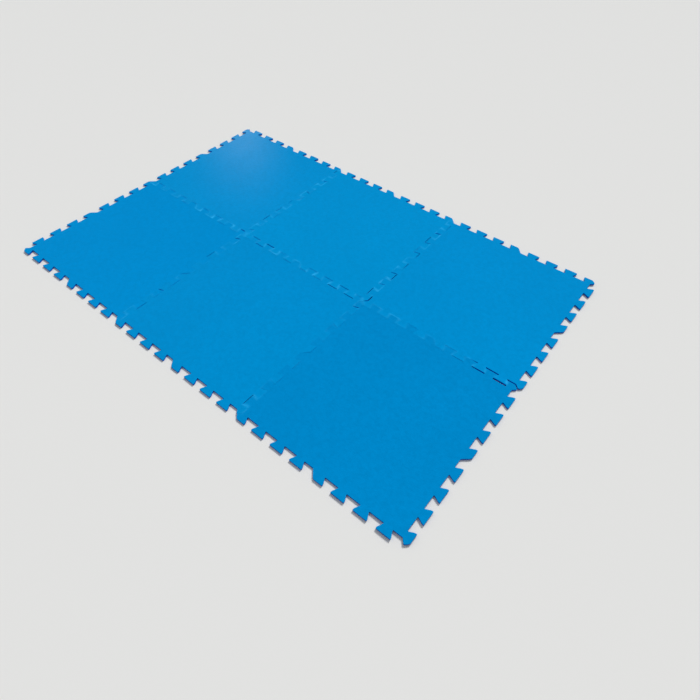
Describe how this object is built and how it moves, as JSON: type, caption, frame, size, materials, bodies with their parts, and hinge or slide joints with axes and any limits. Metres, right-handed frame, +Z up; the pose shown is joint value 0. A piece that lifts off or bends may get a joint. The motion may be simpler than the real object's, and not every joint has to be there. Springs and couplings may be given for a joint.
{
  "type": "interlocking foam floor mats",
  "caption": "Square closed-cell foam mats with dovetail teeth on every side, locked edge to edge into one flat rectangular ground or blocking surface.",
  "frame": {"origin": "centre of the field's underside, where it rests on the ground", "axes": "+X along the long side of the field, +Y from the front row of mats to the back row, +Z up out of the upper face"},
  "size_m": [1.5203, 1.0202, 0.005],
  "materials": {
    "foam": "matte"
  },
  "bodies": {
    "front_left_mat": {"front_left_mat": "foam"},
    "front_middle_mat": {"front_middle_mat": "foam"},
    "front_right_mat": {"front_right_mat": "foam"},
    "back_left_mat": {"back_left_mat": "foam"},
    "back_middle_mat": {"back_middle_mat": "foam"},
    "back_right_mat": {"back_right_mat": "foam"}
  },
  "joints": [
    {"name": "front_left_lift", "type": "slide", "parent": "front_middle_mat", "child": "front_left_mat", "axis": [0, 0, 1], "range_m": [0, 0.06]},
    {"name": "front_right_lift", "type": "slide", "parent": "front_middle_mat", "child": "front_right_mat", "axis": [0, 0, 1], "range_m": [0, 0.06]},
    {"name": "back_left_lift", "type": "slide", "parent": "front_middle_mat", "child": "back_left_mat", "axis": [0, 0, 1], "range_m": [0, 0.06]},
    {"name": "back_middle_lift", "type": "slide", "parent": "front_middle_mat", "child": "back_middle_mat", "axis": [0, 0, 1], "range_m": [0, 0.06]},
    {"name": "back_right_lift", "type": "slide", "parent": "front_middle_mat", "child": "back_right_mat", "axis": [0, 0, 1], "range_m": [0, 0.06]}
  ]
}
